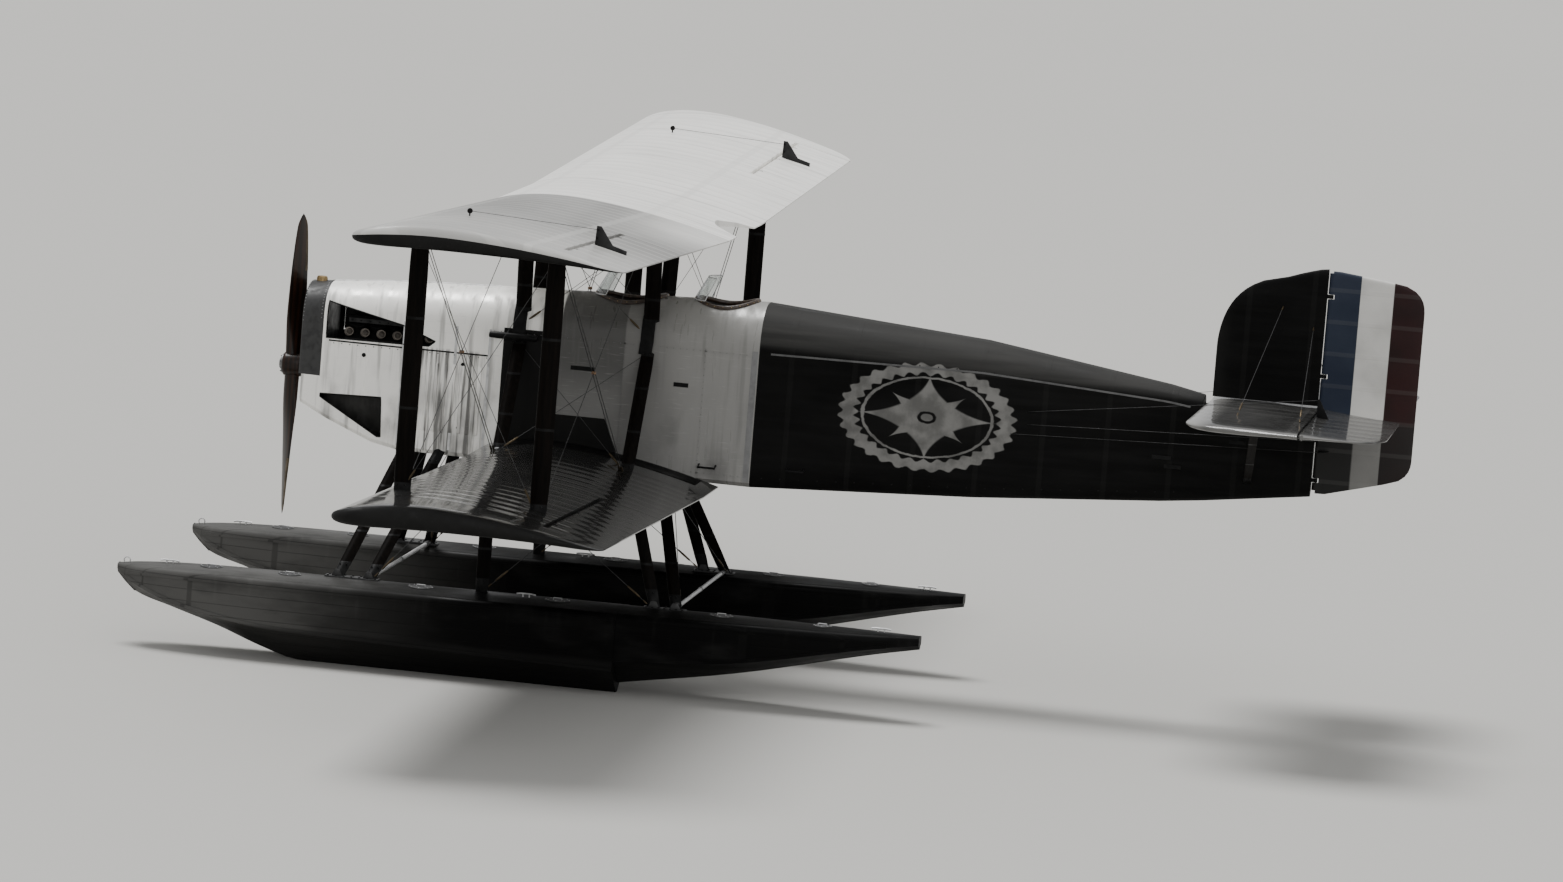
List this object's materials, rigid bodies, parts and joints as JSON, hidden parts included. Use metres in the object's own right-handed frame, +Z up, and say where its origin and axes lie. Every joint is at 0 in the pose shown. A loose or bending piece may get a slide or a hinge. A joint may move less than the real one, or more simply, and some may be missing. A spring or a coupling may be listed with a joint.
{
  "type": "floatplane",
  "caption": "Single-engine biplane on twin floats, with open cockpits, a wooden propeller and hinged control surfaces.",
  "frame": {"origin": "middle of the length and span, on the floor that the float keels stand on", "axes": "+X toward the tail, +Y toward the starboard wing tip, +Z up"},
  "size_m": [11.874, 15.225, 4.7407],
  "materials": {
    "doped_fabric": "doped and matt",
    "dark_fabric": "dark doped fabric",
    "bare_metal": "worn sheet",
    "dark_metal": "dark and dull",
    "dark_wood": "dark varnish",
    "varnished_wood": "clear varnish",
    "float_paint": "dull paint",
    "rudder_paint": "striped dope",
    "seat_leather": "worn",
    "screen_glass": "clear"
  },
  "bodies": {
    "airframe": {"upper_centre_section": "doped_fabric", "upper_wing_port": "doped_fabric", "lower_wing_port": "doped_fabric", "lower_wing_stub_port": "doped_fabric", "upper_wing_starboard": "doped_fabric", "lower_wing_starboard": "doped_fabric", "lower_wing_stub_starboard": "doped_fabric", "forward_fuselage": "bare_metal", "engine_cowl": "bare_metal", "radiator": "dark_metal", "engine": "dark_metal", "pilot_seat": "seat_leather", "rear_seat": "seat_leather", "pilot_coaming": "seat_leather", "pilot_windscreen": "screen_glass", "rear_coaming": "seat_leather", "rear_windscreen": "screen_glass", "tailplane": "dark_fabric", "rear_fuselage": "dark_fabric", "fin": "dark_fabric", "outer_strut_front_port": "dark_wood", "cabane_strut_front_port": "dark_wood", "stub_strut_front_port": "dark_wood", "outer_strut_rear_port": "dark_wood", "cabane_strut_rear_port": "dark_wood", "stub_strut_rear_port": "dark_wood", "outer_strut_front_starboard": "dark_wood", "cabane_strut_front_starboard": "dark_wood", "stub_strut_front_starboard": "dark_wood", "outer_strut_rear_starboard": "dark_wood", "cabane_strut_rear_starboard": "dark_wood", "stub_strut_rear_starboard": "dark_wood", "main_stays_front_port": "dark_metal", "main_stays_rear_port": "dark_metal", "main_stays_front_starboard": "dark_metal", "main_stays_rear_starboard": "dark_metal", "tail_strut_port": "dark_wood", "tail_strut_starboard": "dark_wood", "float_port": "float_paint", "float_starboard": "float_paint", "float_struts_front_port": "dark_wood", "float_struts_rear_port": "dark_wood", "float_strut_middle_port": "dark_wood", "float_struts_front_starboard": "dark_wood", "float_struts_rear_starboard": "dark_wood", "float_strut_middle_starboard": "dark_wood", "spreader_bar_front": "dark_metal", "spreader_bar_rear": "dark_metal"},
    "propeller": {"propeller": "varnished_wood"},
    "rudder": {"rudder": "rudder_paint"},
    "elevator_port": {"elevator_port": "dark_fabric"},
    "elevator_starboard": {"elevator_starboard": "dark_fabric"},
    "upper_aileron_port": {"upper_aileron_port": "doped_fabric"},
    "upper_aileron_starboard": {"upper_aileron_starboard": "doped_fabric"},
    "lower_aileron_port": {"lower_aileron_port": "doped_fabric"},
    "lower_aileron_starboard": {"lower_aileron_starboard": "doped_fabric"}
  },
  "joints": [
    {"name": "propeller_spin", "type": "hinge", "parent": "airframe", "child": "propeller", "pos_m": [-4.745, 0, 2.58], "axis": [1, 0, 0], "continuous": true},
    {"name": "rudder_turn", "type": "hinge", "parent": "airframe", "child": "rudder", "pos_m": [5.062, 0, 3.2], "axis": [0, 0, 1], "range_deg": [-25, 25]},
    {"name": "elevator_port_turn", "type": "hinge", "parent": "airframe", "child": "elevator_port", "pos_m": [5.079, -1.2, 3.075], "axis": [0, 1, 0], "range_deg": [-25, 20]},
    {"name": "elevator_starboard_turn", "type": "hinge", "parent": "airframe", "child": "elevator_starboard", "pos_m": [5.079, 1.2, 3.075], "axis": [0, 1, 0], "range_deg": [-25, 20]},
    {"name": "upper_aileron_port_turn", "type": "hinge", "parent": "airframe", "child": "upper_aileron_port", "pos_m": [-1.02015, -4.99892, 4.46013], "axis": [0, 0.9994, -0.0342], "range_deg": [-20, 20]},
    {"name": "upper_aileron_starboard_turn", "type": "hinge", "parent": "airframe", "child": "upper_aileron_starboard", "pos_m": [-1.02015, 4.99892, 4.46013], "axis": [0, 0.9994, 0.0342], "range_deg": [-20, 20]},
    {"name": "lower_aileron_port_turn", "type": "hinge", "parent": "airframe", "child": "lower_aileron_port", "pos_m": [-1.02015, -4.99958, 2.05162], "axis": [0, 0.9996, -0.0279], "range_deg": [-20, 20]},
    {"name": "lower_aileron_starboard_turn", "type": "hinge", "parent": "airframe", "child": "lower_aileron_starboard", "pos_m": [-1.02015, 4.99958, 2.05162], "axis": [0, 0.9996, 0.0279], "range_deg": [-20, 20]}
  ],
  "couplings": [
    {"joint": "elevator_starboard_turn", "follows": "elevator_port_turn", "ratio": 1},
    {"joint": "upper_aileron_starboard_turn", "follows": "upper_aileron_port_turn", "ratio": -1},
    {"joint": "lower_aileron_port_turn", "follows": "upper_aileron_port_turn", "ratio": 1},
    {"joint": "lower_aileron_starboard_turn", "follows": "upper_aileron_port_turn", "ratio": -1}
  ]
}
